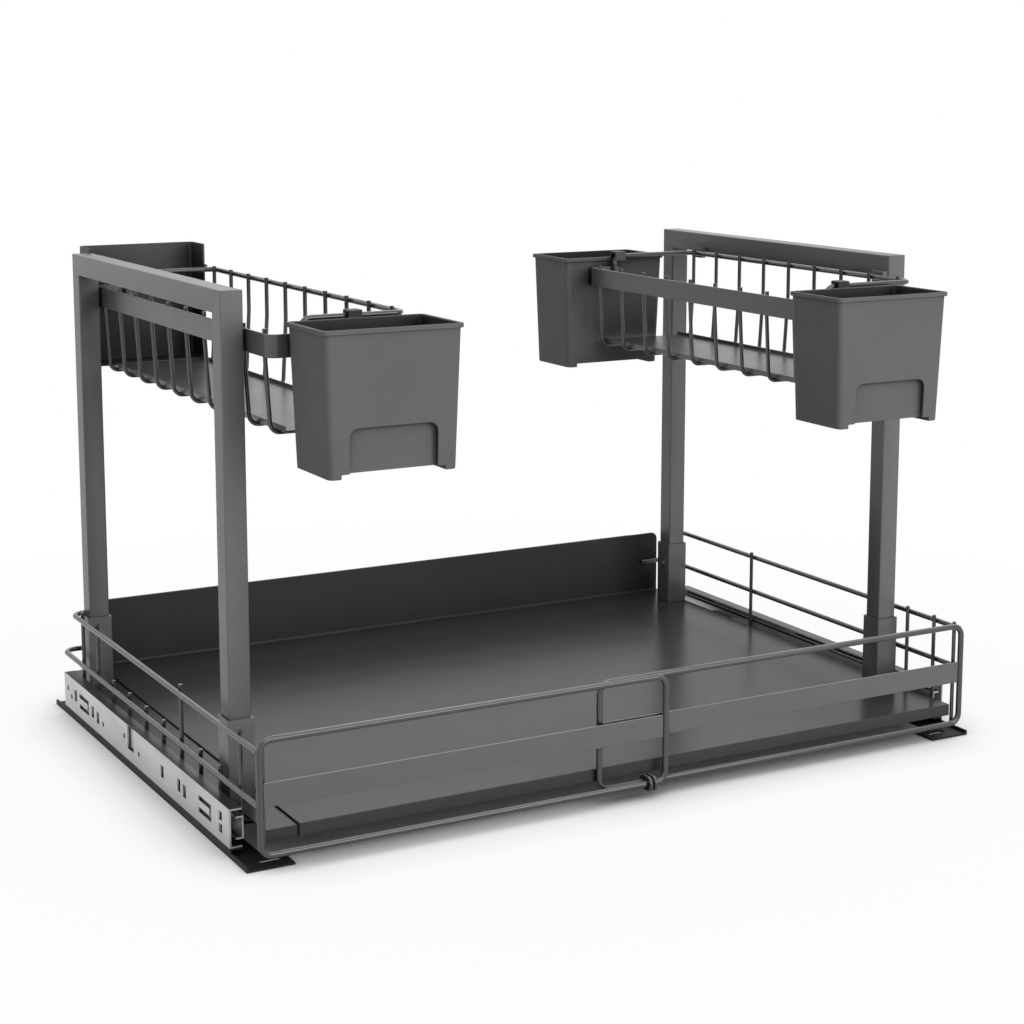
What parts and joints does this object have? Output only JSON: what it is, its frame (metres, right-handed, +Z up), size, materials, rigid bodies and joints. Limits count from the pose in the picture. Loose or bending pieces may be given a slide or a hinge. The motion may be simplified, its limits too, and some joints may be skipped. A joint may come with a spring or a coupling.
{
  "type": "pull-out under sink organizer",
  "caption": "Low two-level pull-out organizer with a telescoping sheet tray, wire guards, side tube frames, wire baskets and hanging bins.",
  "frame": {"origin": "middle of the footprint, on the cabinet floor", "axes": "+X to the right seen from the front, +Y towards the rear of the cabinet, +Z up; the tray pulls out along -Y"},
  "size_m": [0.6002, 0.4556, 0.374],
  "materials": {
    "frame_metal": "fine matt powder coat",
    "tray_metal": "fine matt powder coat",
    "wire_metal": "satin powder coat",
    "base_metal": "black powder coat",
    "slide_zinc": "bright zinc plate",
    "screw_steel": "black oxide",
    "bin_plastic": "fine moulded grain"
  },
  "bodies": {
    "base": {"base_rail_left": "base_metal", "slide_outer_left": "slide_zinc", "outer_bars": "base_metal", "bar_rivets_left": "screw_steel"},
    "base_right": {"base_rail_right": "base_metal", "slide_outer_right": "slide_zinc", "inner_bars": "base_metal", "bar_rivets_right": "screw_steel"},
    "slide_middle_left": {"slide_middle_left": "slide_zinc", "ball_cages_left": "slide_zinc"},
    "slide_middle_right": {"slide_middle_right": "slide_zinc", "ball_cages_right": "slide_zinc"},
    "tray_left": {"slide_inner_left": "slide_zinc", "slide_brackets_left": "base_metal", "tray_floor_left": "tray_metal", "back_plate_left": "tray_metal", "side_rails_left": "wire_metal", "cross_wires_left": "wire_metal", "side_wires_left": "wire_metal", "front_guard_left": "wire_metal", "front_band_left": "frame_metal", "sleeves_left": "frame_metal", "sleeve_screws_left": "screw_steel", "post_front_left": "frame_metal", "post_rear_left": "frame_metal", "beam_left": "frame_metal", "basket_pads_left": "frame_metal", "basket_band_left": "frame_metal", "basket_rail_left": "wire_metal", "basket_band_side_wires_left": "wire_metal", "basket_floor_wires_left": "wire_metal", "basket_rail_side_wires_left": "wire_metal", "basket_floor_left": "tray_metal", "guard_clips": "wire_metal", "bin_rear_left": "bin_plastic"},
    "tray_right": {"slide_inner_right": "slide_zinc", "slide_brackets_right": "base_metal", "tray_floor_right": "tray_metal", "back_plate_right": "tray_metal", "side_rails_right": "wire_metal", "cross_wires_right": "wire_metal", "side_wires_right": "wire_metal", "front_guard_right": "wire_metal", "front_band_right": "frame_metal", "sleeves_right": "frame_metal", "sleeve_screws_right": "screw_steel", "post_front_right": "frame_metal", "post_rear_right": "frame_metal", "beam_right": "frame_metal", "basket_brackets_right": "frame_metal", "basket_band_right": "frame_metal", "basket_rail_right": "wire_metal", "basket_band_side_wires_right": "wire_metal", "basket_floor_wires_right": "wire_metal", "basket_rail_side_wires_right": "wire_metal", "basket_floor_right": "tray_metal"},
    "bin_front_left": {"bin_front_left": "bin_plastic"},
    "bin_front_right": {"bin_front_right": "bin_plastic"},
    "bin_rear_right": {"bin_rear_right": "bin_plastic"}
  },
  "joints": [
    {"name": "width", "type": "slide", "parent": "base", "child": "base_right", "axis": [1, 0, 0], "range_m": [0, 0.025]},
    {"name": "drawer", "type": "slide", "parent": "base", "child": "tray_left", "axis": [0, -1, 0], "range_m": [0, 0.34]},
    {"name": "slide_middle_left", "type": "slide", "parent": "base", "child": "slide_middle_left", "axis": [0, -1, 0], "range_m": [0, 0.17]},
    {"name": "slide_middle_right", "type": "slide", "parent": "base_right", "child": "slide_middle_right", "axis": [0, -1, 0], "range_m": [0, 0.17]},
    {"name": "tray_width", "type": "slide", "parent": "tray_left", "child": "tray_right", "axis": [1, 0, 0], "range_m": [0, 0.025]},
    {"name": "lift_bin_front_left", "type": "slide", "parent": "tray_left", "child": "bin_front_left", "axis": [0, 0, 1], "range_m": [0, 0.1]},
    {"name": "lift_bin_front_right", "type": "slide", "parent": "tray_right", "child": "bin_front_right", "axis": [0, 0, 1], "range_m": [0, 0.1]},
    {"name": "lift_bin_rear_right", "type": "slide", "parent": "tray_right", "child": "bin_rear_right", "axis": [0, 0, 1], "range_m": [0, 0.1]}
  ],
  "couplings": [
    {"joint": "slide_middle_left", "follows": "drawer", "ratio": 0.5},
    {"joint": "slide_middle_right", "follows": "drawer", "ratio": 0.5},
    {"joint": "tray_width", "follows": "width", "ratio": 1}
  ]
}
